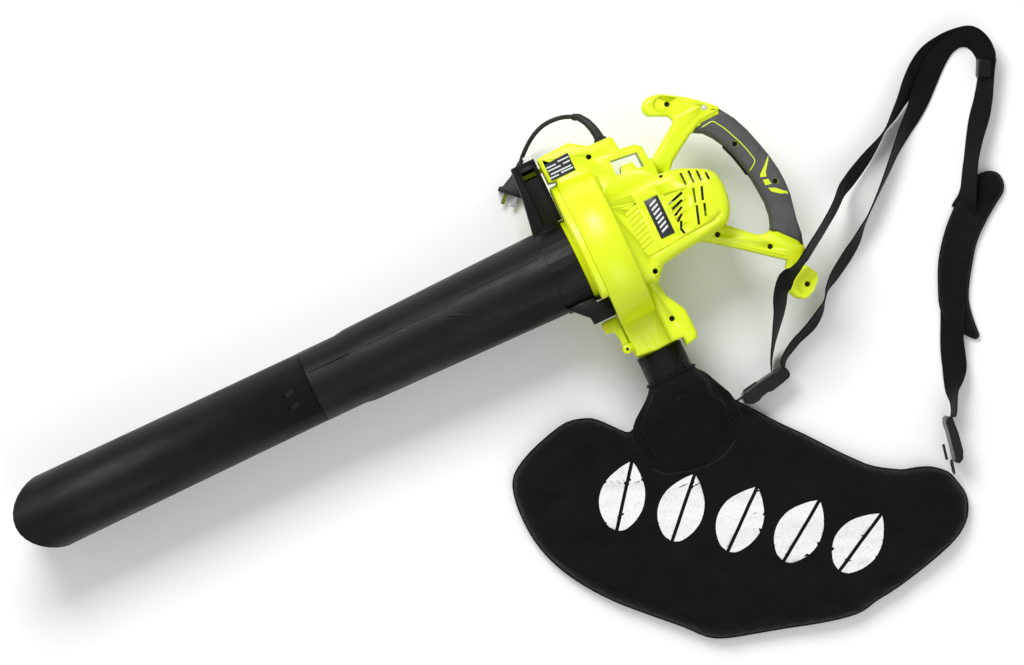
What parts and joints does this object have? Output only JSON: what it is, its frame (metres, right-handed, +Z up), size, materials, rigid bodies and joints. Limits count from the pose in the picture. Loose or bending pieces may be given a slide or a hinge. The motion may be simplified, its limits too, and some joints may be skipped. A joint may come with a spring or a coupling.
{
  "type": "leaf vacuum mulcher",
  "caption": "Corded leaf vacuum mulcher lying on its side: fan and motor casing with loop handle, two-part suction tube, outlet duct with collecting bag, shoulder strap and short lead.",
  "frame": {"origin": "bottom centre of the machine as it lies on its right side, without its lead, plug and strain relief", "axes": "+X along the motor axis from the suction tube towards the handle, +Y towards the top of the machine and away from the bag, +Z up from the ground it lies on"},
  "size_m": [1.622, 0.8748, 0.2356],
  "materials": {
    "lime_plastic": "moulded lime green plastic, satin gloss",
    "black_plastic": "moulded black plastic, fine grain",
    "grip_rubber": "dark grey soft overmould",
    "cream_plastic": "off-white plastic",
    "steel": "plain steel",
    "cast_alloy": "cast aluminium",
    "copper": "copper windings and segments",
    "carbon": "pressed carbon",
    "bag_cloth": "black woven polyester",
    "webbing": "black polypropylene webbing",
    "cord_sheath": "black rubber flex",
    "lens": "clear indicator lens"
  },
  "bodies": {
    "machine": {"casing_left": "lime_plastic", "casing_right": "lime_plastic", "inlet_cover": "lime_plastic", "grip_left": "grip_rubber", "grip_right": "grip_rubber", "indicator_lens": "lens", "rating_plate": "black_plastic", "badge_plate": "black_plastic", "casing_screw_1": "steel", "casing_screw_2": "steel", "casing_screw_3": "steel", "casing_screw_4": "steel", "casing_screw_5": "steel", "casing_screw_6": "steel", "casing_screw_7": "steel", "casing_screw_8": "steel", "casing_screw_9": "steel", "casing_screw_10": "steel", "power_switch": "black_plastic", "stator": "steel", "front_bearing": "steel", "rear_bearing": "steel", "carbon_brush_upper": "carbon", "carbon_brush_lower": "carbon", "brush_holder_upper": "black_plastic", "brush_holder_lower": "black_plastic", "latch_pin": "steel", "cord_boot": "black_plastic", "mains_cord": "cord_sheath", "mains_plug": "black_plastic", "plug_pin_a": "steel", "plug_pin_b": "steel"},
    "rotor": {"motor_shaft": "steel", "impeller": "cast_alloy", "impeller_nut": "steel", "cooling_fan": "black_plastic", "armature": "copper", "commutator": "copper"},
    "trigger": {"trigger": "black_plastic"},
    "suction_tube": {"upper_tube": "black_plastic", "tube_collar": "black_plastic", "interlock_tab": "cream_plastic"},
    "lower_tube": {"lower_tube": "black_plastic"},
    "latch": {"latch_lever": "lime_plastic"},
    "bag": {"outlet_duct": "black_plastic", "collecting_bag": "bag_cloth", "bag_ring_1": "steel", "bag_ring_2": "steel", "snap_hook_1": "steel", "snap_hook_2": "steel", "strap_over": "webbing", "strap_under": "webbing", "strap_single": "webbing", "strap_lower": "webbing", "shoulder_pad": "webbing", "strap_slider": "black_plastic"},
    "hook_gate_1": {"hook_gate_1": "steel"},
    "hook_gate_2": {"hook_gate_2": "steel"}
  },
  "joints": [
    {"name": "rotor_spin", "type": "hinge", "parent": "machine", "child": "rotor", "pos_m": [0.18701, 0.2445, 0.1178], "axis": [1, 0, 0], "continuous": true},
    {"name": "trigger_squeeze", "type": "hinge", "parent": "machine", "child": "trigger", "pos_m": [0.37751, 0.3045, 0.1178], "axis": [0, 0, 1], "range_deg": [0, 6], "stiffness_Nm_per_rad": 1.5},
    {"name": "tube_hinge", "type": "hinge", "parent": "machine", "child": "suction_tube", "pos_m": [0.09501, 0.3895, 0.1178], "axis": [0, 0, 1], "range_deg": [-13, 0]},
    {"name": "lower_tube_slide", "type": "slide", "parent": "suction_tube", "child": "lower_tube", "axis": [-1, 0, 0], "range_m": [0, 0.055]},
    {"name": "latch_release", "type": "hinge", "parent": "machine", "child": "latch", "pos_m": [0.11651, 0.0945, 0.1178], "axis": [0, 0, 1], "range_deg": [0, 12], "stiffness_Nm_per_rad": 0.8},
    {"name": "bag_slide", "type": "slide", "parent": "machine", "child": "bag", "axis": [0, -1, 0], "range_m": [0, 0.03]},
    {"name": "hook_gate_1_press", "type": "hinge", "parent": "bag", "child": "hook_gate_1", "pos_m": [0.27305, -0.03704, 0.0234], "axis": [0, 0, 1], "range_deg": [0, 12], "stiffness_Nm_per_rad": 0.05},
    {"name": "hook_gate_2_press", "type": "hinge", "parent": "bag", "child": "hook_gate_2", "pos_m": [0.49001, -0.24443, 0.0234], "axis": [0, 0, 1], "range_deg": [0, 12], "stiffness_Nm_per_rad": 0.05}
  ]
}
